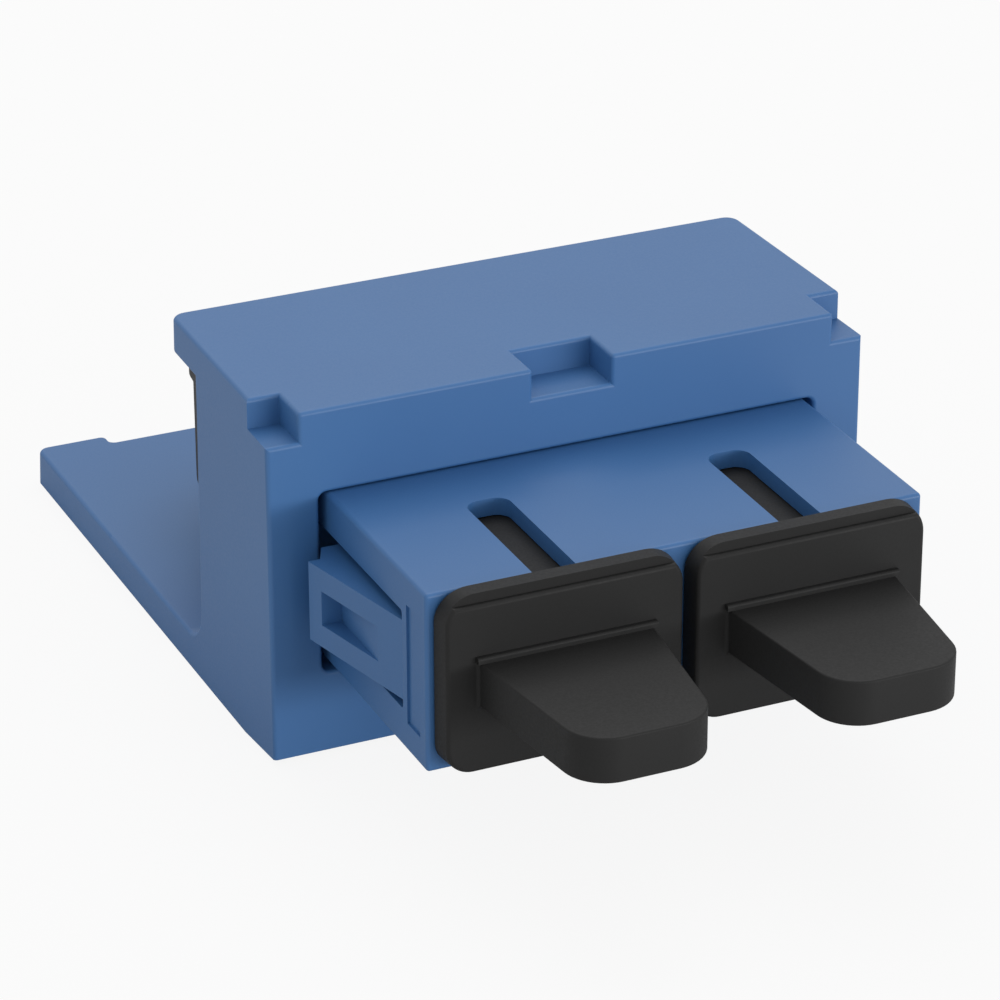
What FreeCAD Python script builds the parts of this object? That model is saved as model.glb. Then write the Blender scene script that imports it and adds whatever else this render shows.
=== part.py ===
import FreeCAD, Part
import math
import os
import re

import Sketcher

# A twin fibre adapter, snapped into a module housing, with a dust cap in each of its four ports.
# Millimetres. X runs across the ports, +Y from the housing's front face to its back, +Z up.
# The origin is the middle of the flat underside of the housing's plate.

SIZES = [
    ("port_pitch", 12.7, "between the centres of the two ports"),
    ("port_width", 9.0, "port across"),
    ("port_height", 7.4, "port height"),
    ("port_corner", 0.4, "radius in the corners of a port"),
    ("port_wall", 0.9, "wall above and below a port"),
    ("side_wall", 1.98, "wall outside a port"),
    ("shell_length", 14.8, "one half of the adapter, from the joint to its mouth"),
    ("shell_edge", 0.2, "rounding of a shell's mouth and long edges"),
    ("flange_half", 1.15, "thickness of one shell's half of the flange"),
    ("flange_overhang", 1.05, "flange past the sides of the adapter"),
    ("flange_rise", 0.9, "flange above and below the adapter"),
    ("flange_corner", 0.6, "corner radius of the flange"),
    ("flange_gap", 0.05, "between the flange and the front wall"),
    ("key_width", 2.2, "keyway across"),
    ("key_length", 8.0, "keyway from the mouth to its end"),
    ("key_corner", 0.75, "radius at the keyway's end"),
    ("wing_gap", 1.6, "between a wing's free end and the housing's front face"),
    ("wing_length", 7.35, "wing from its root to its free end"),
    ("wing_spread", 1.67, "how far a wing's free end stands out"),
    ("wing_root", 0.75, "wing thickness at its root"),
    ("wing_height", 4.15, "wing height"),
    ("wing_slot", 0.5, "slot above and below a wing"),
    ("wing_tip_flat", 0.6, "flat at a wing's free end, across"),
    ("wing_end_slant", 0.5, "slant behind the flat of a wing's free end, across"),
    ("wing_end_back", 1.1, "how far the inner part of a wing's free end lies behind its tip"),
    ("wing_slot_corner", 0.2, "radius at the ends of a wing's slots"),
    ("wing_recess_height", 1.8, "recess in a wing, height"),
    ("wing_recess_inset", 1.0, "from a wing's tip to the recess"),
    ("wing_recess_floor", 0.42, "how far the floor of the recess stands out of the adapter's side"),
    ("side_panel_height", 6.2, "sunk panel beside a wing's root, height"),
    ("side_panel_length", 1.5, "sunk panel, lengthwise"),
    ("side_panel_inset", 0.5, "from a wing's slots to the sunk panel"),
    ("side_panel_depth", 0.12, "depth of the sunk panel"),
    ("front_wall", 1.9, "housing wall round the opening"),
    ("opening_side_gap", 0.41, "between the adapter and the opening's sides"),
    ("opening_top_gap", 0.06, "between the adapter and the opening's top"),
    ("opening_bottom_gap", 0.36, "between the adapter and the opening's bottom"),
    ("opening_corner", 0.4, "corner radius of the opening"),
    ("sill_height", 4.62, "from the plate's underside to the opening"),
    ("lintel_height", 4.36, "from the opening to the top of the housing"),
    ("leg_wall", 1.9, "thickness of a side leg"),
    ("leg_gap", 0.1, "between the flange and a side leg"),
    ("leg_depth", 9.95, "from the front face to the back of a leg"),
    ("leg_fillet", 2.0, "fillet between a leg and the plate"),
    ("lip_depth", 13.6, "from the front face to the back of the lip"),
    ("lip_thickness", 1.9, "lip thickness"),
    ("lip_narrowing", 0.3, "how much each side draws in at the lip's back"),
    ("lip_corner", 0.75, "plan radius of the lip's back corners"),
    ("plate_length", 35.62, "from the front face to the back of the plate"),
    ("plate_thickness", 1.9, "plate thickness"),
    ("plate_corner", 0.6, "plan radius of the plate's back corners"),
    ("lead_length", 3.95, "lead-in under the front edge, lengthwise"),
    ("lead_rise", 0.36, "lead-in under the front edge, height"),
    ("tab_length", 0.97, "tabs at the back corners of the plate, lengthwise"),
    ("tab_width", 4.03, "tabs at the back corners of the plate, across"),
    ("tab_corner", 0.35, "plan radii where a tab meets the plate"),
    ("notch_depth", 2.5, "notches in the top front edge, lengthwise"),
    ("notch_drop", 1.53, "notches in the top front edge, height"),
    ("side_notch_width", 1.67, "notch at each corner, across"),
    ("middle_notch_width", 4.2, "notch in the middle, across"),
    ("edge_radius", 0.2, "rounding of the housing's edges"),
    ("cap_spacing", 0.75, "between the flanges of two caps"),
    ("cap_overhang", 0.15, "cap flange above the adapter"),
    ("cap_foot_drop", 0.25, "how far the foot of a cap's flange stays above the adapter's underside"),
    ("cap_corner", 1.5, "radius of the upper corners of a cap's flange"),
    ("cap_foot_corner", 1.3, "radius of the lower corners of a cap's flange"),
    ("cap_rim", 0.85, "thickness of a cap's flange along its top edge"),
    ("cap_panel", 0.3, "step from the rim along the top to a cap's front"),
    ("cap_step_height", 0.5, "height of the step along the top of a cap"),
    ("cap_edge", 0.2, "rounding of a cap's front edges"),
    ("front_cap_gap", 0.13, "between a front cap's flange and the mouth"),
    ("rear_cap_gap", 0.6, "between a rear cap's flange and the mouth"),
    ("plug_gap", 0.075, "between a cap's plug and the port, all round"),
    ("plug_length", 8.5, "plug from the flange to its end"),
    ("plug_side_wall", 0.6, "plug walls at the sides"),
    ("plug_top_wall", 0.85, "plug walls at the top and bottom"),
    ("plug_floor", 1.0, "solid stretch of the plug next to the flange"),
    ("plug_lead", 0.25, "bevel round the end of a plug"),
    ("handle_length", 9.05, "handle from the cap's front to its tip"),
    ("handle_root_width", 8.8, "handle across at the cap's front"),
    ("handle_tip_width", 6.55, "handle across at the tip, before its corners"),
    ("handle_corner", 2.13, "plan radius of the handle's corners"),
    ("handle_thickness", 2.3, "handle thickness"),
    ("handle_rise", 0.22, "centre of the handle above the port's axis"),
    ("handle_fillet", 0.2, "fillet between the handle and the cap's front"),
    ("handle_edge", 0.1, "rounding of the handle's edges"),
    ("rib_width", 9.1, "rib above the handle, across"),
    ("rib_height", 0.3, "rib above the handle, height"),
    ("rib_proud", 0.3, "how far the rib stands out of the cap's front"),
    ("rib_edge", 0.13, "rounding of the rib's upper edge"),
    ("sleeve_radius", 1.6, "outer radius of an alignment sleeve"),
    ("sleeve_bore_radius", 1.25, "bore radius of an alignment sleeve"),
    ("sleeve_length", 11.4, "alignment sleeve length"),
    ("sleeve_slit", 0.4, "slit along an alignment sleeve"),
    ("sleeve_gap", 0.05, "between a sleeve and its holder"),
    ("sleeve_stop", 0.5, "ring at the end of the holder that keeps the sleeve in"),
    ("holder_wall", 0.75, "wall of the tube round a sleeve"),
    ("insert_gap", 0.05, "between an insert's base and the port"),
    ("insert_base", 1.2, "thickness of an insert's base"),
    ("hook_setback", 6.8, "from a shell's mouth to the tips of the latch hooks"),
    ("hook_thickness", 0.7, "latch hook arm thickness"),
    ("hook_height", 3.4, "latch hook arm height"),
    ("hook_inset", 0.85, "from the port's side to a latch hook"),
    ("hook_nose", 0.45, "how far a hook's nose stands inwards"),
    ("hook_nose_length", 1.3, "nose of a hook, lengthwise"),
    ("overrun", 1.0, "how far a cutting outline runs past the face that it opens"),
]

ADAPTER_HALF_WIDTH = "(port_pitch / 2 + port_width / 2 + side_wall)"
ADAPTER_HALF_HEIGHT = "(port_height / 2 + port_wall)"
AXIS_HEIGHT = f"(sill_height + opening_bottom_gap + {ADAPTER_HALF_HEIGHT})"
JOINT_DEPTH = "(front_wall + flange_gap + flange_half)"
OPENING_HALF_WIDTH = f"({ADAPTER_HALF_WIDTH} + opening_side_gap)"
OPENING_TOP = f"({AXIS_HEIGHT} + {ADAPTER_HALF_HEIGHT} + opening_top_gap)"
HOUSING_HEIGHT = f"({OPENING_TOP} + lintel_height)"
LEG_INNER = f"({ADAPTER_HALF_WIDTH} + flange_overhang + leg_gap)"
HOUSING_HALF_WIDTH = f"({LEG_INNER} + leg_wall)"
HOUSING_SHIFT = "(-plate_length / 2)"
WING_TIP = f"({JOINT_DEPTH} + wing_gap)"
WING_ROOT = f"({WING_TIP} + wing_length)"
HOLDER_BORE = "(sleeve_radius + sleeve_gap)"
HOLDER_RADIUS = f"({HOLDER_BORE} + holder_wall)"
HOLDER_END = "(sleeve_length / 2 + sleeve_gap + sleeve_stop)"
HOOK_OUTER = "(port_width / 2 - hook_inset)"
HOOK_LENGTH = "(shell_length - hook_setback)"
CAP_HALF_WIDTH = "(port_pitch / 2 - cap_spacing / 2)"
CAP_TOP = f"({ADAPTER_HALF_HEIGHT} + cap_overhang)"
CAP_FOOT = f"(cap_foot_drop - {ADAPTER_HALF_HEIGHT})"
PLUG_HALF_WIDTH = "(port_width / 2 - plug_gap)"
PLUG_HALF_HEIGHT = "(port_height / 2 - plug_gap)"
CAP_THICKNESS = "(cap_rim + cap_panel)"
RIB_FOOT = "(handle_rise + handle_thickness / 2)"

SIDES = {"left": "-1", "right": "1"}


def formula(text):
    """An expression in which each name is a cell of the sheet."""
    return re.sub(r"[a-z][a-z_]+", r"Sizes.\g<0>", text)


def write_sizes(doc):
    sheet = doc.addObject("Spreadsheet::Sheet", "Sizes")
    for row, (name, number, note) in enumerate(SIZES, start=1):
        sheet.set(f"A{row}", name)
        sheet.set(f"B{row}", str(number))
        sheet.set(f"C{row}", note)
        sheet.setAlias(f"B{row}", name)
    doc.recompute()
    return sheet


def new_body(doc, name):
    body = doc.addObject("PartDesign::Body", name)
    body.Label = name
    return body


def place(body, across, back, up, turned=False):
    """Puts a body's own origin at three formulas, and turns it half round when it faces the back."""
    if turned:
        body.Placement = FreeCAD.Placement(FreeCAD.Vector(), FreeCAD.Rotation(FreeCAD.Vector(0, 0, 1), 180))
    body.setExpression("Placement.Base.x", formula(across))
    body.setExpression("Placement.Base.y", formula(back))
    body.setExpression("Placement.Base.z", formula(up))


def new_sketch(body, name, plane, offset="0"):
    """A sketch on one of the body's own planes, moved along that plane's normal by a formula."""
    sketch = body.newObject("Sketcher::SketchObject", name)
    support = next(item for item in body.Origin.OriginFeatures if item.Role == plane)
    sketch.AttachmentSupport = [(support, "")]
    sketch.MapMode = "FlatFace"
    sketch.setExpression("AttachmentOffset.Base.z", formula(offset))
    return sketch


def bind(sketch, kind, first, second, text):
    """A driving distance between two points of the sketch, given by a formula."""
    index = sketch.addConstraint(Sketcher.Constraint(kind, *first, *second, 1.0))
    sketch.setExpression(f"Constraints[{index}]", formula(text))


ORIGIN_POINT = (-1, 1)


def outline(sketch, corners):
    """A closed outline of straight lines. Each corner is a pair of formulas."""
    first_line = sketch.GeometryCount
    count = len(corners)
    start = [
        FreeCAD.Vector(math.cos(2 * math.pi * step / count), math.sin(2 * math.pi * step / count), 0)
        for step in range(count)
    ]
    for step in range(count):
        sketch.addGeometry(Part.LineSegment(start[step], start[(step + 1) % count]))
    for step, (across, up) in enumerate(corners):
        line = first_line + step
        previous = first_line + (step - 1) % count
        sketch.addConstraint(Sketcher.Constraint("Coincident", previous, 2, line, 1))
        bind(sketch, "DistanceX", ORIGIN_POINT, (line, 1), across)
        bind(sketch, "DistanceY", ORIGIN_POINT, (line, 1), up)


def rectangle(sketch, left, right, bottom, top):
    outline(sketch, [(left, bottom), (right, bottom), (right, top), (left, top)])


def circle(sketch, radius):
    """A circle about the sketch's origin."""
    index = sketch.addGeometry(Part.Circle(FreeCAD.Vector(), FreeCAD.Vector(0, 0, 1), 1.0))
    sketch.addConstraint(Sketcher.Constraint("Coincident", index, 3, *ORIGIN_POINT))
    constraint = sketch.addConstraint(Sketcher.Constraint("Radius", index, 1.0))
    sketch.setExpression(f"Constraints[{constraint}]", formula(radius))


def extrude(body, kind, name, sketch, length, reverse=False, both_ways=False):
    """A pad or a pocket of the sketch. A pad follows the sketch's normal and a pocket goes against it."""
    feature = body.newObject(f"PartDesign::{kind}", name)
    feature.Profile = sketch
    feature.Type = "Length"
    feature.SideType = "Symmetric" if both_ways else "One side"
    feature.Reversed = reverse
    feature.setExpression("Length", formula(length))
    body.Document.recompute()
    return feature


def pad(body, name, sketch, length, **options):
    return extrude(body, "Pad", name, sketch, length, **options)


def pocket(body, name, sketch, length, **options):
    return extrude(body, "Pocket", name, sketch, length, **options)


def edges_along(body, axis, wanted):
    """Names of the straight edges along an axis whose middle point is wanted."""
    names = []
    for index, edge in enumerate(body.Tip.Shape.Edges, start=1):
        run = edge.Vertexes[-1].Point - edge.Vertexes[0].Point
        if run.Length > 0 and abs(run.normalize().dot(axis)) > 1 - NEAR:
            if wanted(edge.CenterOfMass):
                names.append(f"Edge{index}")
    return names


def edges_at(body, wanted):
    """Names of all the edges whose middle point is wanted."""
    return [
        f"Edge{index}"
        for index, edge in enumerate(body.Tip.Shape.Edges, start=1)
        if wanted(edge.CenterOfMass)
    ]


def dress_edges(body, kind, name, edges, measure, text):
    base = body.Tip
    feature = body.newObject(f"PartDesign::{kind}", name)
    feature.Base = (base, edges)
    feature.setExpression(measure, formula(text))
    body.Document.recompute()
    return feature


def round_edges(body, name, edges, radius):
    return dress_edges(body, "Fillet", name, edges, "Radius", radius)


def bevel_edges(body, name, edges, width):
    return dress_edges(body, "Chamfer", name, edges, "Size", width)


ALONG_X = FreeCAD.Vector(1, 0, 0)
ALONG_Y = FreeCAD.Vector(0, 1, 0)
ALONG_Z = FreeCAD.Vector(0, 0, 1)
NEAR = 0.02


def near(one, other):
    return abs(one - other) < NEAR


def housing(doc, size):
    """The moulded housing: its own origin is the front face's foot, at the plate's flat underside."""
    body = new_body(doc, "module_housing")

    front = new_sketch(body, "HousingFront", "XZ_Plane")
    rectangle(front, f"-{HOUSING_HALF_WIDTH}", HOUSING_HALF_WIDTH, "0", HOUSING_HEIGHT)
    back = new_sketch(body, "HousingBack", "XZ_Plane", "-plate_length")
    narrowed = f"({HOUSING_HALF_WIDTH} - lip_narrowing * plate_length / lip_depth)"
    outline(
        back,
        [
            (f"-{HOUSING_HALF_WIDTH}", "0"),
            (HOUSING_HALF_WIDTH, "0"),
            (narrowed, HOUSING_HEIGHT),
            (f"-{narrowed}", HOUSING_HEIGHT),
        ],
    )
    block = body.newObject("PartDesign::AdditiveLoft", "HousingBlock")
    block.Profile = front
    block.Sections = [back]
    block.Ruled = True
    doc.recompute()

    behind = new_sketch(body, "BehindLip", "YZ_Plane")
    outline(
        behind,
        [
            ("leg_depth", "plate_thickness"),
            ("plate_length + overrun", "plate_thickness"),
            ("plate_length + overrun", f"{HOUSING_HEIGHT} + overrun"),
            ("lip_depth", f"{HOUSING_HEIGHT} + overrun"),
            ("lip_depth", f"{HOUSING_HEIGHT} - lip_thickness"),
            ("leg_depth", f"{HOUSING_HEIGHT} - lip_thickness"),
        ],
    )
    full_width = f"2 * ({HOUSING_HALF_WIDTH} + overrun)"
    pocket(body, "CutBehindLip", behind, full_width, both_ways=True)

    inside = new_sketch(body, "BetweenLegs", "YZ_Plane")
    rectangle(
        inside,
        "front_wall",
        "leg_depth + overrun",
        "plate_thickness",
        f"{HOUSING_HEIGHT} - lip_thickness",
    )
    pocket(body, "CutBetweenLegs", inside, f"2 * {LEG_INNER}", both_ways=True)

    opening = new_sketch(body, "Opening", "XZ_Plane", "overrun")
    rectangle(opening, f"-{OPENING_HALF_WIDTH}", OPENING_HALF_WIDTH, "sill_height", OPENING_TOP)
    pocket(body, "CutOpening", opening, "front_wall + 2 * overrun")

    notches = new_sketch(body, "Notches", "XY_Plane", HOUSING_HEIGHT)
    side_notch = f"({HOUSING_HALF_WIDTH} - side_notch_width)"
    past_side = f"({HOUSING_HALF_WIDTH} + overrun)"
    rectangle(notches, f"-{past_side}", f"-{side_notch}", "-overrun", "notch_depth")
    rectangle(notches, side_notch, past_side, "-overrun", "notch_depth")
    rectangle(notches, "-middle_notch_width / 2", "middle_notch_width / 2", "-overrun", "notch_depth")
    pocket(body, "CutNotches", notches, "notch_drop")

    lead = new_sketch(body, "LeadIn", "YZ_Plane")
    outline(lead, [("0", "0"), ("lead_length", "0"), ("0", "lead_rise")])
    pocket(body, "CutLeadIn", lead, full_width, both_ways=True)

    recess = new_sketch(body, "BetweenTabs", "XY_Plane")
    tab_inner = f"({HOUSING_HALF_WIDTH} - tab_width)"
    rectangle(recess, f"-{tab_inner}", tab_inner, "plate_length - tab_length", "plate_length + overrun")
    pocket(body, "CutBetweenTabs", recess, "plate_thickness + overrun", reverse=True)

    half_width = max(vertex.X for vertex in body.Tip.Shape.Vertexes)
    height = max(vertex.Z for vertex in body.Tip.Shape.Vertexes)
    legs = edges_along(
        body, ALONG_X, lambda middle: near(middle.y, size.leg_depth) and near(middle.z, size.plate_thickness)
    )
    round_edges(body, "LegFillet", legs, "leg_fillet")
    lip_corners = edges_along(
        body,
        ALONG_Z,
        lambda middle: near(middle.y, size.lip_depth) and middle.z > height - size.lip_thickness,
    )
    round_edges(body, "LipCorners", lip_corners, "lip_corner")
    plate_corners = edges_along(
        body,
        ALONG_Z,
        lambda middle: near(middle.y, size.plate_length) and half_width - abs(middle.x) < size.tab_width / 2,
    )
    round_edges(body, "PlateCorners", plate_corners, "plate_corner")
    tab_corners = edges_along(
        body,
        ALONG_Z,
        lambda middle: middle.y > size.lip_depth and near(abs(middle.x), half_width - size.tab_width),
    )
    round_edges(body, "TabCorners", tab_corners, "tab_corner")
    opening_corners = edges_along(
        body,
        ALONG_Y,
        lambda middle: middle.y < size.front_wall
        and middle.y > 0
        and middle.z < height - size.lintel_height + NEAR
        and abs(middle.x) < half_width - size.leg_wall,
    )
    round_edges(body, "OpeningCorners", opening_corners, "opening_corner")

    def is_moulded_edge(middle):
        on_front = near(middle.y, 0) and middle.z > size.lead_rise + NEAR
        on_top = near(middle.z, height)
        under_lip = near(middle.z, height - size.lip_thickness) and middle.y > size.leg_depth + NEAR
        on_plate = near(middle.z, size.plate_thickness) and middle.y > size.leg_depth
        on_leg = near(middle.y, size.leg_depth) and abs(middle.x) > half_width - size.lip_narrowing
        return on_front or on_top or under_lip or on_plate or on_leg

    round_edges(body, "MouldedEdges", edges_at(body, is_moulded_edge), "edge_radius")
    place(body, "0", HOUSING_SHIFT, "0")
    return body


def adapter_shell(doc, name, size, winged):
    """Half of the adapter: its own origin is on the adapter's axis at the joint, and its mouth faces -Y."""
    body = new_body(doc, name)

    block = new_sketch(body, name + "_Block", "XZ_Plane")
    rectangle(
        block,
        f"-{ADAPTER_HALF_WIDTH}",
        ADAPTER_HALF_WIDTH,
        f"-{ADAPTER_HALF_HEIGHT}",
        ADAPTER_HALF_HEIGHT,
    )
    pad(body, name + "_BlockPad", block, "shell_length")
    length = body.Tip.Shape.BoundBox.YLength
    half_width = body.Tip.Shape.BoundBox.XMax
    half_height = body.Tip.Shape.BoundBox.ZMax
    rims = edges_at(
        body,
        lambda middle: near(middle.y, -length)
        or (near(abs(middle.x), half_width) and near(abs(middle.z), half_height)),
    )
    round_edges(body, name + "_Edges", rims, "shell_edge")

    flange = new_sketch(body, name + "_Flange", "XZ_Plane")
    rectangle(
        flange,
        f"-{ADAPTER_HALF_WIDTH} - flange_overhang",
        f"{ADAPTER_HALF_WIDTH} + flange_overhang",
        f"-{ADAPTER_HALF_HEIGHT} - flange_rise",
        f"{ADAPTER_HALF_HEIGHT} + flange_rise",
    )
    pad(body, name + "_FlangePad", flange, "flange_half")
    flange_corners = edges_along(
        body,
        ALONG_Y,
        lambda middle: abs(middle.x) > half_width + NEAR and abs(middle.z) > half_height + NEAR,
    )
    round_edges(body, name + "_FlangeCorners", flange_corners, "flange_corner")

    ports = new_sketch(body, name + "_Ports", "XZ_Plane", "-overrun")
    for side in SIDES.values():
        rectangle(
            ports,
            f"{side} * port_pitch / 2 - port_width / 2",
            f"{side} * port_pitch / 2 + port_width / 2",
            "-port_height / 2",
            "port_height / 2",
        )
    pocket(body, name + "_PortPocket", ports, "shell_length + 2 * overrun", reverse=True)
    port_corners = edges_along(
        body,
        ALONG_Y,
        lambda middle: abs(middle.x) < half_width - size.side_wall + NEAR
        and near(abs(middle.z), half_height - size.port_wall),
    )
    round_edges(body, name + "_PortCorners", port_corners, "port_corner")

    keys = new_sketch(body, name + "_Keyways", "XY_Plane", f"{ADAPTER_HALF_HEIGHT} + overrun")
    for side in SIDES.values():
        rectangle(
            keys,
            f"{side} * port_pitch / 2 - key_width / 2",
            f"{side} * port_pitch / 2 + key_width / 2",
            "-shell_length - overrun",
            "key_length - shell_length",
        )
    pocket(body, name + "_KeywayPocket", keys, "port_wall + 2 * overrun")
    key_corners = edges_along(
        body,
        ALONG_Z,
        lambda middle: near(middle.y, size.key_length - size.shell_length) and middle.z > 0,
    )
    round_edges(body, name + "_KeywayCorners", key_corners, "key_corner")
    if winged:
        for side_name, side in SIDES.items():
            snap_wing(body, f"{name}_{side_name}", size, side)
    return body


def snap_wing(body, name, size, side):
    """A wing that springs out of the adapter's side and catches in front of the housing."""
    slots = new_sketch(body, name + "_WingSlots", "YZ_Plane", f"{side} * ({ADAPTER_HALF_WIDTH} + overrun)")
    half_slot = "(wing_height / 2 + wing_slot)"
    rectangle(slots, f"-{WING_ROOT}", "-flange_half", f"-{half_slot}", half_slot)
    is_left = side == SIDES["left"]
    pocket(body, name + "_WingPocket", slots, "side_wall + 2 * overrun", reverse=is_left)
    slot_ends = edges_along(
        body,
        ALONG_X,
        lambda middle: middle.x * float(side) > 0
        and middle.y < -size.wing_length
        and near(abs(middle.z), size.wing_height / 2 + size.wing_slot),
    )
    round_edges(body, name + "_WingSlotEnds", slot_ends, "wing_slot_corner")

    wing = new_sketch(body, name + "_Wing", "XY_Plane")
    inner_face = f"{side} * ({ADAPTER_HALF_WIDTH} - wing_root)"
    flat_end = f"({ADAPTER_HALF_WIDTH} + wing_spread - wing_tip_flat)"
    outline(
        wing,
        [
            (inner_face, f"-{WING_ROOT} - wing_slot"),
            (f"{side} * {ADAPTER_HALF_WIDTH}", f"-{WING_ROOT} - wing_slot"),
            (f"{side} * {ADAPTER_HALF_WIDTH}", f"-{WING_ROOT}"),
            (f"{side} * ({ADAPTER_HALF_WIDTH} + wing_spread)", f"-{WING_TIP}"),
            (f"{side} * {flat_end}", f"-{WING_TIP}"),
            (f"{side} * ({flat_end} - wing_end_slant)", f"wing_end_back - {WING_TIP}"),
            (inner_face, f"wing_end_back - {WING_TIP}"),
        ],
    )
    pad(body, name + "_WingPad", wing, "wing_height", both_ways=True)

    recess = new_sketch(
        body, name + "_WingRecess", "YZ_Plane", f"{side} * ({ADAPTER_HALF_WIDTH} + wing_recess_floor)"
    )
    half_recess = "(wing_recess_height / 2)"
    rectangle(recess, f"-{WING_ROOT}", f"-{WING_TIP} - wing_recess_inset", f"-{half_recess}", half_recess)
    pocket(body, name + "_WingRecessPocket", recess, "wing_spread + overrun", reverse=not is_left)

    panel = new_sketch(
        body, name + "_SidePanel", "YZ_Plane", f"{side} * ({ADAPTER_HALF_WIDTH} - side_panel_depth)"
    )
    panel_back = f"(-{WING_ROOT} - side_panel_inset)"
    rectangle(
        panel,
        f"{panel_back} - side_panel_length",
        panel_back,
        "-side_panel_height / 2",
        "side_panel_height / 2",
    )
    pocket(body, name + "_SidePanelPocket", panel, "side_panel_depth + overrun", reverse=not is_left)


def latch_insert(doc, name):
    """Holder for half a sleeve with two latch hooks. Its own origin is on the port's axis at the joint."""
    body = new_body(doc, name)
    base = new_sketch(body, name + "_Base", "XZ_Plane")
    rectangle(
        base,
        "insert_gap - port_width / 2",
        "port_width / 2 - insert_gap",
        "insert_gap - port_height / 2",
        "port_height / 2 - insert_gap",
    )
    pad(body, name + "_BasePad", base, "insert_base")
    corners = edges_along(body, ALONG_Y, lambda middle: True)
    round_edges(body, name + "_BaseCorners", corners, "port_corner")

    holder = new_sketch(body, name + "_Holder", "XZ_Plane")
    circle(holder, HOLDER_RADIUS)
    pad(body, name + "_HolderPad", holder, HOLDER_END)

    for side_name, side in SIDES.items():
        hook = new_sketch(body, f"{name}_Hook_{side_name}", "XY_Plane")
        outer = f"({side} * {HOOK_OUTER})"
        inner = f"({side} * ({HOOK_OUTER} - hook_thickness))"
        nose = f"({side} * ({HOOK_OUTER} - hook_thickness - hook_nose))"
        outline(
            hook,
            [
                (outer, "-insert_base / 2"),
                (inner, "-insert_base / 2"),
                (inner, f"hook_nose_length - {HOOK_LENGTH}"),
                (nose, f"hook_nose_length - hook_nose - {HOOK_LENGTH}"),
                (inner, f"-{HOOK_LENGTH}"),
                (outer, f"-{HOOK_LENGTH}"),
            ],
        )
        pad(body, f"{name}_HookPad_{side_name}", hook, "hook_height", both_ways=True)

    seat = new_sketch(body, name + "_Seat", "XZ_Plane", "-overrun")
    circle(seat, HOLDER_BORE)
    pocket(body, name + "_SeatPocket", seat, "sleeve_length / 2 + sleeve_gap + overrun", reverse=True)
    way = new_sketch(body, name + "_FerruleWay", "XZ_Plane", "-overrun")
    circle(way, "sleeve_bore_radius + sleeve_gap")
    pocket(body, name + "_FerruleWayPocket", way, f"{HOLDER_END} + 2 * overrun", reverse=True)
    return body


def alignment_sleeve(doc, name):
    """Split sleeve. Its own origin is on the port's axis at the joint."""
    body = new_body(doc, name)
    ring = new_sketch(body, name + "_Ring", "XZ_Plane")
    circle(ring, "sleeve_radius")
    pad(body, name + "_RingPad", ring, "sleeve_length", both_ways=True)
    bore = new_sketch(body, name + "_Bore", "XZ_Plane")
    circle(bore, "sleeve_bore_radius")
    pocket(body, name + "_BorePocket", bore, "sleeve_length + overrun", both_ways=True)
    slit = new_sketch(body, name + "_Slit", "YZ_Plane")
    half_length = "(sleeve_length / 2 + overrun)"
    rectangle(slit, f"-{half_length}", half_length, "0", "sleeve_radius + overrun")
    pocket(body, name + "_SlitPocket", slit, "sleeve_slit", both_ways=True)
    return body


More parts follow.
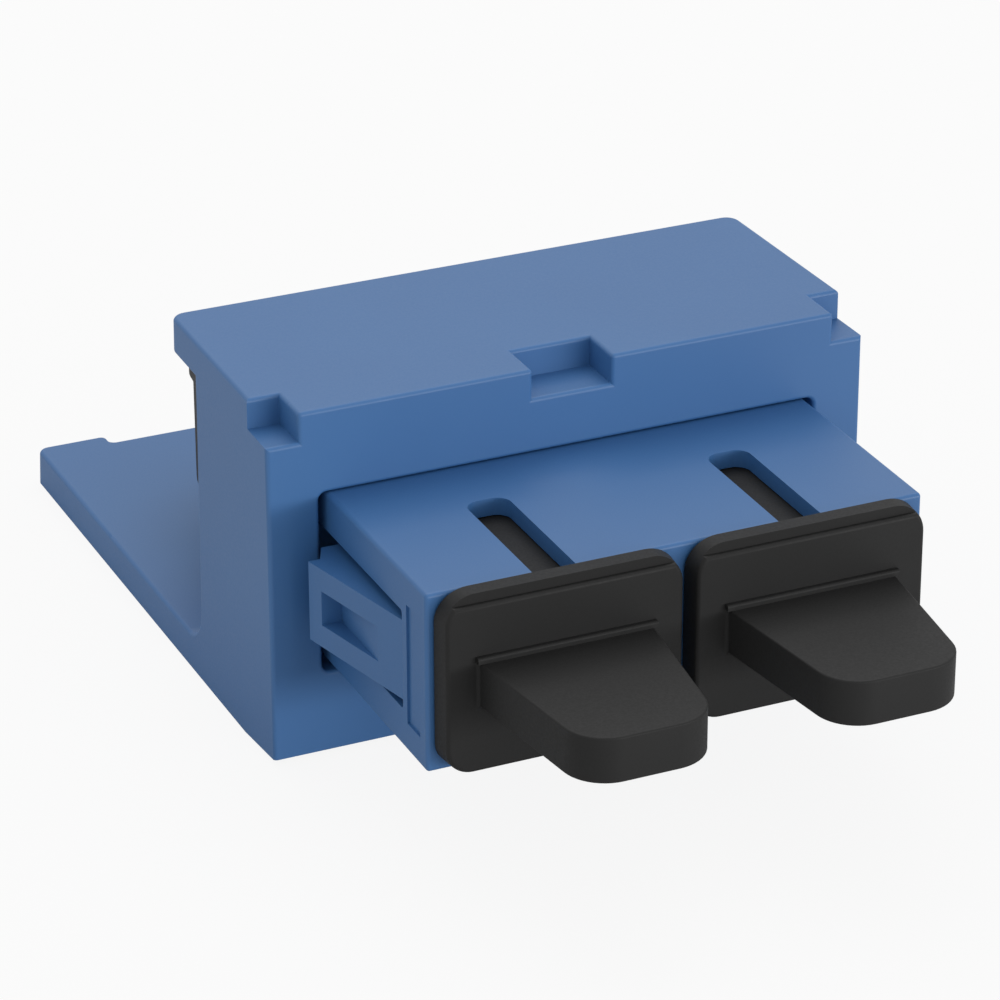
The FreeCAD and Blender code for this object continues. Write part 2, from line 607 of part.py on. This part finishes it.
def dust_cap(doc, name, size):
    """Cap for one port. Its own origin is on the port's axis at the back of the flange."""
    body = new_body(doc, name)
    flange = new_sketch(body, name + "_Flange", "XZ_Plane")
    rectangle(flange, f"-{CAP_HALF_WIDTH}", CAP_HALF_WIDTH, CAP_FOOT, CAP_TOP)
    pad(body, name + "_FlangePad", flange, CAP_THICKNESS)
    thickness = body.Tip.Shape.BoundBox.YLength
    upper_corners = edges_along(body, ALONG_Y, lambda middle: middle.z > 0)
    round_edges(body, name + "_UpperCorners", upper_corners, "cap_corner")
    lower_corners = edges_along(body, ALONG_Y, lambda middle: near(middle.z, body.Tip.Shape.BoundBox.ZMin))
    round_edges(body, name + "_LowerCorners", lower_corners, "cap_foot_corner")
    step = new_sketch(body, name + "_TopStep", "YZ_Plane")
    rectangle(
        step,
        f"-{CAP_THICKNESS} - overrun",
        "-cap_rim",
        f"{CAP_TOP} - cap_step_height",
        f"{CAP_TOP} + overrun",
    )
    pocket(body, name + "_TopStepPocket", step, f"2 * ({CAP_HALF_WIDTH} + overrun)", both_ways=True)
    front_edges = edges_at(body, lambda middle: near(middle.y, -thickness))
    round_edges(body, name + "_FrontEdges", front_edges, "cap_edge")

    handle = new_sketch(body, name + "_Handle", "XY_Plane", "handle_rise")
    root = "handle_root_width / 2"
    tip = "handle_tip_width / 2"
    tip_depth = f"-{CAP_THICKNESS} - handle_length"
    outline(
        handle,
        [
            (f"-{root}", "-cap_rim / 2"),
            (f"-{root}", f"-{CAP_THICKNESS}"),
            (f"-{tip}", tip_depth),
            (tip, tip_depth),
            (root, f"-{CAP_THICKNESS}"),
            (root, "-cap_rim / 2"),
        ],
    )
    pad(body, name + "_HandlePad", handle, "handle_thickness", both_ways=True)
    reach = body.Tip.Shape.BoundBox.YMin
    tips = edges_along(body, ALONG_Z, lambda middle: near(middle.y, reach))
    round_edges(body, name + "_HandleCorners", tips, "handle_corner")
    brims = edges_at(
        body,
        lambda middle: middle.y < -thickness - NEAR
        and near(abs(middle.z - size.handle_rise), size.handle_thickness / 2),
    )
    round_edges(body, name + "_HandleEdges", brims, "handle_edge")
    foot = edges_at(
        body,
        lambda middle: near(middle.y, -thickness)
        and abs(middle.x) < size.handle_root_width / 2 + NEAR
        and abs(middle.z - size.handle_rise) < size.handle_thickness / 2 + NEAR,
    )
    round_edges(body, name + "_HandleFoot", foot, "handle_fillet")

    rib = new_sketch(body, name + "_Rib", "XZ_Plane", "cap_rim")
    rectangle(rib, "-rib_width / 2", "rib_width / 2", RIB_FOOT, f"{RIB_FOOT} + rib_height")
    pad(body, name + "_RibPad", rib, "cap_panel + rib_proud")
    handle_top = size.handle_rise + size.handle_thickness / 2
    crest = edges_along(
        body,
        ALONG_X,
        lambda middle: near(middle.y, -thickness - size.rib_proud) and middle.z > handle_top + NEAR,
    )
    round_edges(body, name + "_RibEdges", crest, "rib_edge")

    plug = new_sketch(body, name + "_Plug", "XZ_Plane")
    rectangle(plug, f"-{PLUG_HALF_WIDTH}", PLUG_HALF_WIDTH, f"-{PLUG_HALF_HEIGHT}", PLUG_HALF_HEIGHT)
    pad(body, name + "_PlugPad", plug, "plug_length", reverse=True)
    plug_corners = edges_along(body, ALONG_Y, lambda middle: middle.y > 0)
    round_edges(body, name + "_PlugCorners", plug_corners, "port_corner")
    plug_end = edges_at(body, lambda middle: near(middle.y, size.plug_length))
    bevel_edges(body, name + "_PlugLead", plug_end, "plug_lead")
    hollow = new_sketch(body, name + "_Hollow", "XZ_Plane", "-plug_length - overrun")
    hollow_width = f"({PLUG_HALF_WIDTH} - plug_side_wall)"
    hollow_height = f"({PLUG_HALF_HEIGHT} - plug_top_wall)"
    rectangle(hollow, f"-{hollow_width}", hollow_width, f"-{hollow_height}", hollow_height)
    pocket(body, name + "_HollowPocket", hollow, "plug_length - plug_floor + overrun", reverse=True)
    return body


def finish(doc):
    failed = [item.Name for item in doc.Objects if "Invalid" in item.State or "Error" in item.State]
    if failed:
        raise SystemExit("not computed: " + ", ".join(failed))
    bodies = [item for item in doc.Objects if item.TypeId == "PartDesign::Body"]
    for body in bodies:
        if body.Shape.isNull() or not body.Shape.isValid():
            raise SystemExit("no sound shape: " + body.Label)
    os.makedirs("parts", exist_ok=True)
    for body in bodies:
        body.Shape.exportStep(f"parts/{body.Label}.step")
        print(body.Label, "solids", len(body.Shape.Solids), "volume", round(body.Shape.Volume, 1))


def main():
    doc = FreeCAD.newDocument("fibre_adapter")
    sheet = write_sizes(doc)

    class Size:
        """The sheet's numbers, for finding edges."""

        def __getattr__(self, name):
            return sheet.get(name)

    size = Size()
    housing(doc, size)
    joint = f"{JOINT_DEPTH} + {HOUSING_SHIFT}"
    for end, turned in {"front": False, "rear": True}.items():
        shell = adapter_shell(doc, f"adapter_{end}_shell", size, winged=not turned)
        place(shell, "0", joint, AXIS_HEIGHT, turned)
        mouth = f"{joint} - shell_length - front_cap_gap"
        if turned:
            mouth = f"{joint} + shell_length + rear_cap_gap"
        for side_name, side in SIDES.items():
            across = f"{side} * port_pitch / 2"
            insert = latch_insert(doc, f"{end}_latch_insert_{side_name}")
            place(insert, across, joint, AXIS_HEIGHT, turned)
            cap = dust_cap(doc, f"{end}_dust_cap_{side_name}", size)
            place(cap, across, mouth, AXIS_HEIGHT, turned)
    for side_name, side in SIDES.items():
        sleeve = alignment_sleeve(doc, f"alignment_sleeve_{side_name}")
        place(sleeve, f"{side} * port_pitch / 2", joint, AXIS_HEIGHT)
    doc.recompute()
    finish(doc)


main()
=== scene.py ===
"""The looks of the twin fibre adapter in its module housing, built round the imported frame."""
import math

import bmesh
import bpy
from mathutils import Matrix, Vector


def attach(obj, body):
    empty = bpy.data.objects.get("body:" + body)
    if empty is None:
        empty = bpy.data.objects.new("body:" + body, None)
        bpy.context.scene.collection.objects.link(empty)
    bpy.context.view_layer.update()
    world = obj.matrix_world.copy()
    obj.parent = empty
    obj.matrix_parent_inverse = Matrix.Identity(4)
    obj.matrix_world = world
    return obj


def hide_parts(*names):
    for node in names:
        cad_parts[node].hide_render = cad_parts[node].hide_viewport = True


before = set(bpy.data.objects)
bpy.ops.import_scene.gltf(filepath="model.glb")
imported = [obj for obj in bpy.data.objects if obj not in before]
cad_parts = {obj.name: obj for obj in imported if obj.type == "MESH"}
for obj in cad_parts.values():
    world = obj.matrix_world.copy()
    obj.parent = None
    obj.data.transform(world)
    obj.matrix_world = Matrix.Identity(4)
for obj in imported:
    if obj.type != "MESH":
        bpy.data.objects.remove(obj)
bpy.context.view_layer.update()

# The camera, at the photograph's viewing angle
CAMERA_PLACE = Vector((-0.081367, -0.190012, 0.103662))
CAMERA_AZIMUTH = math.radians(-24.238)
CAMERA_ELEVATION = math.radians(25.885)
CAMERA_ROLL = math.radians(-0.140)
CAMERA_LENS = 156.08
CAMERA_NEAR = 0.01
CAMERA_FAR = 20.0
SENSOR_WIDTH = 36.0

# The dust caps, in metres: how far out each port's axis lies, and where the two shells meet
PORT_AXES = {"left": -0.00635, "right": 0.00635}
ADAPTER_MIDDLE = -0.01471

# The flange of a cap, outwards from the port's axis: past the first distance there is nothing but flange,
# the draft starts at the second, and it makes each side wider by the third next to the adapter
FLANGE_EDGE = 0.0059
DRAFT_START = 0.0046
FLANGE_DRAFT = 0.00016

# Points nearer than this are the same point, and a sharper turn than this between faces is a crease
SAME_POINT = 0.0000001
CREASE = math.radians(28)

# The skin of a moulding: its fine grain, the slower ripple under it, and the clouds in its pigment
GRAIN_DETAIL = 3.0
GRAIN_ROUGHNESS = 0.6
GRAIN_SHARE = 0.8
GRAIN_HEIGHT = 0.00001
PIT_RANGE = (0.35, 0.65)
RIPPLE_SCALE = 900.0
RIPPLE_DETAIL = 2.0
RIPPLE_ROUGHNESS = 0.5
CLOUD_SCALE = 90.0
CLOUD_DETAIL = 4.0
CLOUD_ROUGHNESS = 0.55
CLOUD_RANGE = (0.3, 0.7)
FULL_RANGE = (0.0, 1.0)
PLASTIC_IOR = 1.49
PLAIN_SHINE = 0.5

# A Mix node has sockets with the same names for numbers and for colours, so those for colours go by place
MIX_FIRST = 6
MIX_SECOND = 7
MIX_RESULT = 2

# The studio, in metres
WHITE = (1.0, 1.0, 1.0, 1.0)
FLOOR_SIDE = 6.0
FLOOR_GAP = 0.00002
FLOOR_COLOUR = (0.62, 0.62, 0.62, 1.0)
FLOOR_GLOW_SEEN = 0.9
FLOOR_GLOW_MIRRORED = 0.05
SKY_STRENGTH = 0.76

# The lamps' aim, and each lamp's name, place, width, height and watts
LAMP_AIM = Vector((0.0, -0.01, 0.01))
LAMPS = (
    ("key_light", (0.42, -0.78, 0.08), 0.7, 0.14, 3.6),
    ("top_light", (0.13, 0.38, 0.72), 0.62, 0.62, 2.15),
)


def from_srgb(red, green, blue):
    """A colour written as 0 to 255 values, as the linear colour that the shaders take."""
    def linear(part):
        part /= 255
        return part / 12.92 if part <= 0.04045 else ((part + 0.055) / 1.055) ** 2.4

    return (linear(red), linear(green), linear(blue), 1.0)


# Shader nodes
def new_group(name, inputs, outputs):
    """An empty shader node group with named sockets, and its two end nodes."""
    group = bpy.data.node_groups.new(name, "ShaderNodeTree")
    for socket_name, kind, value in inputs:
        socket = group.interface.new_socket(socket_name, in_out="INPUT", socket_type=kind)
        socket.default_value = value
    for socket_name, kind in outputs:
        group.interface.new_socket(socket_name, in_out="OUTPUT", socket_type=kind)
    return group, group.nodes.new("NodeGroupInput"), group.nodes.new("NodeGroupOutput")


def add_node(tree, kind, **settings):
    """A new node with its properties set."""
    node = tree.nodes.new(kind)
    for name, value in settings.items():
        setattr(node, name, value)
    return node


def join(tree, *steps):
    """Links pairs of sockets, each step a (from socket, to socket) pair."""
    for start, end in steps:
        tree.links.new(start, end)


def noise_node(tree, place, detail, roughness):
    """A noise texture on the given place socket, whose scale is still to be set or linked."""
    noise = add_node(tree, "ShaderNodeTexNoise")
    noise.inputs["Detail"].default_value = detail
    noise.inputs["Roughness"].default_value = roughness
    tree.links.new(place, noise.inputs["Vector"])
    return noise


def map_node(tree, value, source, target):
    """Spreads a value from the source range to the target range, each a (low, high) pair."""
    node = add_node(tree, "ShaderNodeMapRange")
    node.inputs["From Min"].default_value, node.inputs["From Max"].default_value = source
    node.inputs["To Min"].default_value, node.inputs["To Max"].default_value = target
    tree.links.new(value, node.inputs["Value"])
    return node


def make_mould_grain():
    """The fine spark-eroded skin of a moulded part: a height, and a mask of its duller pits."""
    group, start, end = new_group(
        "mould_grain",
        [("Grain Scale", "NodeSocketFloat", 9000.0)],
        [("Height", "NodeSocketFloat"), ("Pits", "NodeSocketFloat")],
    )
    place = add_node(group, "ShaderNodeTexCoord").outputs["Object"]
    fine = noise_node(group, place, GRAIN_DETAIL, GRAIN_ROUGHNESS)
    ripple = noise_node(group, place, RIPPLE_DETAIL, RIPPLE_ROUGHNESS)
    ripple.inputs["Scale"].default_value = RIPPLE_SCALE
    height = add_node(group, "ShaderNodeMath", operation="MULTIPLY_ADD")
    height.inputs[1].default_value = GRAIN_SHARE
    pits = map_node(group, fine.outputs["Fac"], PIT_RANGE, FULL_RANGE)
    join(
        group,
        (start.outputs["Grain Scale"], fine.inputs["Scale"]),
        (fine.outputs["Fac"], height.inputs[0]),
        (ripple.outputs["Fac"], height.inputs[2]),
        (height.outputs["Value"], end.inputs["Height"]),
        (pits.outputs["Result"], end.inputs["Pits"]),
    )
    return group


def make_flow_tone():
    """The slow cloudy tone that the flow of plastic leaves in a moulding: a colour round the pigment."""
    group, start, end = new_group(
        "flow_tone",
        [
            ("Pigment", "NodeSocketColor", (0.5, 0.5, 0.5, 1.0)),
            ("Pale", "NodeSocketColor", (0.6, 0.6, 0.6, 1.0)),
        ],
        [("Color", "NodeSocketColor")],
    )
    place = add_node(group, "ShaderNodeTexCoord").outputs["Object"]
    cloud = noise_node(group, place, CLOUD_DETAIL, CLOUD_ROUGHNESS)
    cloud.inputs["Scale"].default_value = CLOUD_SCALE
    spread = map_node(group, cloud.outputs["Fac"], CLOUD_RANGE, FULL_RANGE)
    mix = add_node(group, "ShaderNodeMix", data_type="RGBA")
    join(
        group,
        (spread.outputs["Result"], mix.inputs["Factor"]),
        (start.outputs["Pigment"], mix.inputs[MIX_FIRST]),
        (start.outputs["Pale"], mix.inputs[MIX_SECOND]),
        (mix.outputs[MIX_RESULT], end.inputs["Color"]),
    )
    return group


MOULD_GRAIN = make_mould_grain()
FLOW_TONE = make_flow_tone()


def moulded_material(name, pigment, pale, gloss, grain_scale, depth, shine=PLAIN_SHINE):
    """A moulded material: a cloudy pigment, with the grain in its height and in its roughness.

    The two colours are 0 to 255 values, gloss is the roughness of the smooth skin and of the pits, and
    shine is how strongly the surface mirrors.
    """
    material = bpy.data.materials.new(name)
    material.use_nodes = True
    tree = material.node_tree
    tree.nodes.clear()
    surface = add_node(tree, "ShaderNodeBsdfPrincipled")
    surface.inputs["IOR"].default_value = PLASTIC_IOR
    surface.inputs["Specular IOR Level"].default_value = shine
    result = add_node(tree, "ShaderNodeOutputMaterial")
    grain = add_node(tree, "ShaderNodeGroup", node_tree=MOULD_GRAIN)
    grain.inputs["Grain Scale"].default_value = grain_scale
    tone = add_node(tree, "ShaderNodeGroup", node_tree=FLOW_TONE)
    tone.inputs["Pigment"].default_value = from_srgb(*pigment)
    tone.inputs["Pale"].default_value = from_srgb(*pale)
    dull = map_node(tree, grain.outputs["Pits"], FULL_RANGE, gloss)
    bump = add_node(tree, "ShaderNodeBump")
    bump.inputs["Strength"].default_value = depth
    bump.inputs["Distance"].default_value = GRAIN_HEIGHT
    join(
        tree,
        (tone.outputs["Color"], surface.inputs["Base Color"]),
        (dull.outputs["Result"], surface.inputs["Roughness"]),
        (grain.outputs["Height"], bump.inputs["Height"]),
        (bump.outputs["Normal"], surface.inputs["Normal"]),
        (surface.outputs["BSDF"], result.inputs["Surface"]),
    )
    return material


FINISHES = {
    "housing_blue": moulded_material(
        "housing_blue",
        pigment=(57, 102, 154),
        pale=(59, 105, 157),
        gloss=(0.44, 0.5),
        grain_scale=9000.0,
        depth=0.08,
    ),
    "adapter_blue": moulded_material(
        "adapter_blue",
        pigment=(56, 101, 153),
        pale=(58, 104, 156),
        gloss=(0.42, 0.48),
        grain_scale=11000.0,
        depth=0.08,
    ),
    "insert_white": moulded_material(
        "insert_white",
        pigment=(214, 212, 204),
        pale=(220, 218, 211),
        gloss=(0.38, 0.46),
        grain_scale=11000.0,
        depth=0.08,
    ),
    "cap_black": moulded_material(
        "cap_black",
        pigment=(35, 35, 35),
        pale=(37, 37, 37),
        gloss=(0.5, 0.6),
        grain_scale=8000.0,
        depth=0.1,
        shine=0.2,
    ),
    "sleeve_ceramic": moulded_material(
        "sleeve_ceramic",
        pigment=(232, 228, 216),
        pale=(238, 235, 226),
        gloss=(0.12, 0.2),
        grain_scale=14000.0,
        depth=0.05,
    ),
}

# The word in a node's name that calls for each finish
FINISH_WORDS = {
    "housing": "housing_blue",
    "shell": "adapter_blue",
    "insert": "insert_white",
    "cap": "cap_black",
    "sleeve": "sleeve_ceramic",
}


def dress_nodes():
    """Gives every CAD node the finish that its name calls for."""
    for name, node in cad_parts.items():
        finish = next(finish for word, finish in FINISH_WORDS.items() if word in name)
        for slot in node.material_slots:
            slot.link = "OBJECT"
            slot.material = FINISHES[finish]


def make_cap(end, side):
    """A dust cap cut from its CAD solid, with the draft of a moulding on its flange's two sides.

    The flange keeps its width along its front edges and grows towards the adapter, so that the gap
    between two caps closes to a dark line.
    """
    name = f"{end}_dust_cap_{side}"
    axis = PORT_AXES[side]
    shape = bmesh.new()
    shape.from_mesh(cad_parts[name].data)
    bmesh.ops.remove_doubles(shape, verts=shape.verts, dist=SAME_POINT)
    rim = [abs(v.co.y - ADAPTER_MIDDLE) for v in shape.verts if abs(v.co.x - axis) > FLANGE_EDGE]
    back, front = min(rim), max(rim)
    reach = max(abs(v.co.x - axis) for v in shape.verts)
    for vertex in shape.verts:
        offset = vertex.co.x - axis
        outward = (abs(offset) - DRAFT_START) / (reach - DRAFT_START)
        backward = (front - abs(vertex.co.y - ADAPTER_MIDDLE)) / (front - back)
        if outward > 0:
            vertex.co.x += math.copysign(FLANGE_DRAFT * outward * backward, offset)
    for edge in shape.edges:
        edge.smooth = edge.calc_face_angle(math.pi) < CREASE
    for face in shape.faces:
        face.smooth = True
    mesh = bpy.data.meshes.new(f"{end}_cap_moulding_{side}")
    shape.to_mesh(mesh)
    shape.free()
    if "custom_normal" in mesh.attributes:
        mesh.attributes.remove(mesh.attributes["custom_normal"])
    mesh.materials.append(FINISHES["cap_black"])
    cap = bpy.data.objects.new(mesh.name, mesh)
    bpy.context.scene.collection.objects.link(cap)
    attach(cap, f"{end}_cap_{side}")
    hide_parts(name)


# The studio
def white_for_camera(tree, base):
    """Mixes a plain white glow into a shader, for the camera and less for mirrored and see-through rays."""
    light_path = add_node(tree, "ShaderNodeLightPath")
    mirrored = add_node(tree, "ShaderNodeMath", operation="MAXIMUM")
    seen = add_node(tree, "ShaderNodeMath", operation="MULTIPLY")
    seen.inputs[1].default_value = FLOOR_GLOW_SEEN
    amount = add_node(tree, "ShaderNodeMath", operation="MULTIPLY_ADD")
    amount.inputs[1].default_value = FLOOR_GLOW_MIRRORED
    glow = add_node(tree, "ShaderNodeEmission")
    mix = add_node(tree, "ShaderNodeMixShader")
    join(
        tree,
        (light_path.outputs["Is Glossy Ray"], mirrored.inputs[0]),
        (light_path.outputs["Is Transmission Ray"], mirrored.inputs[1]),
        (light_path.outputs["Is Camera Ray"], seen.inputs[0]),
        (mirrored.outputs["Value"], amount.inputs[0]),
        (seen.outputs["Value"], amount.inputs[2]),
        (amount.outputs["Value"], mix.inputs["Fac"]),
        (base, mix.inputs[1]),
        (glow.outputs["Emission"], mix.inputs[2]),
    )
    return mix.outputs["Shader"]


def make_floor():
    """A plain pale floor that shows the object's shadow from above, and isn't there from below."""
    mesh = bpy.data.meshes.new("floor")
    half = FLOOR_SIDE / 2
    around = ((-half, -half), (half, -half), (half, half), (-half, half))
    mesh.from_pydata([(x, y, -FLOOR_GAP) for x, y in around], [], [(0, 1, 2, 3)])
    floor = bpy.data.objects.new("floor", mesh)
    bpy.context.scene.collection.objects.link(floor)
    material = bpy.data.materials.new("floor_white")
    material.use_nodes = True
    tree = material.node_tree
    tree.nodes.clear()
    matt = add_node(tree, "ShaderNodeBsdfDiffuse")
    matt.inputs["Color"].default_value = FLOOR_COLOUR
    clear = add_node(tree, "ShaderNodeBsdfTransparent")
    from_below = add_node(tree, "ShaderNodeNewGeometry")
    mix = add_node(tree, "ShaderNodeMixShader")
    result = add_node(tree, "ShaderNodeOutputMaterial")
    lit = white_for_camera(tree, matt.outputs["BSDF"])
    join(
        tree,
        (from_below.outputs["Backfacing"], mix.inputs["Fac"]),
        (lit, mix.inputs[1]),
        (clear.outputs["BSDF"], mix.inputs[2]),
        (mix.outputs["Shader"], result.inputs["Surface"]),
    )
    mesh.materials.append(material)


def make_world():
    """An even pale sky that lights the object softly and shows white behind it."""
    world = bpy.data.worlds.new("studio")
    world.use_nodes = True
    tree = world.node_tree
    tree.nodes.clear()
    sky = add_node(tree, "ShaderNodeBackground")
    sky.inputs["Color"].default_value = WHITE
    sky.inputs["Strength"].default_value = SKY_STRENGTH
    white = add_node(tree, "ShaderNodeBackground")
    white.inputs["Color"].default_value = WHITE
    light_path = add_node(tree, "ShaderNodeLightPath")
    mix = add_node(tree, "ShaderNodeMixShader")
    result = add_node(tree, "ShaderNodeOutputWorld")
    join(
        tree,
        (light_path.outputs["Is Camera Ray"], mix.inputs["Fac"]),
        (sky.outputs["Background"], mix.inputs[1]),
        (white.outputs["Background"], mix.inputs[2]),
        (mix.outputs["Shader"], result.inputs["Surface"]),
    )
    bpy.context.scene.world = world


def add_lamp(name, place, width, height, watts):
    """A soft box that faces the object's middle."""
    lamp = bpy.data.lights.new(name, "AREA")
    lamp.shape = "RECTANGLE"
    lamp.size = width
    lamp.size_y = height
    lamp.energy = watts
    holder = bpy.data.objects.new(name, lamp)
    bpy.context.scene.collection.objects.link(holder)
    holder.location = place
    aim = LAMP_AIM - Vector(place)
    holder.rotation_euler = aim.to_track_quat("-Z", "Y").to_euler()


def make_camera():
    """The camera where the photograph was taken from."""
    data = bpy.data.cameras.new("camera")
    data.lens = CAMERA_LENS
    data.sensor_width = SENSOR_WIDTH
    data.clip_start = CAMERA_NEAR
    data.clip_end = CAMERA_FAR
    camera = bpy.data.objects.new("camera", data)
    bpy.context.scene.collection.objects.link(camera)
    camera.location = CAMERA_PLACE
    tilt = Matrix.Rotation(math.pi / 2 - CAMERA_ELEVATION, 3, "X")
    aim = Matrix.Rotation(CAMERA_AZIMUTH, 3, "Z") @ tilt @ Matrix.Rotation(CAMERA_ROLL, 3, "Z")
    camera.rotation_euler = aim.to_euler()
    bpy.context.scene.camera = camera


dress_nodes()
for cap_end in ("front", "rear"):
    for cap_side in PORT_AXES:
        make_cap(cap_end, cap_side)
make_floor()
make_world()
for lamp_values in LAMPS:
    add_lamp(*lamp_values)
make_camera()

bpy.context.scene.view_settings.view_transform = "Standard"
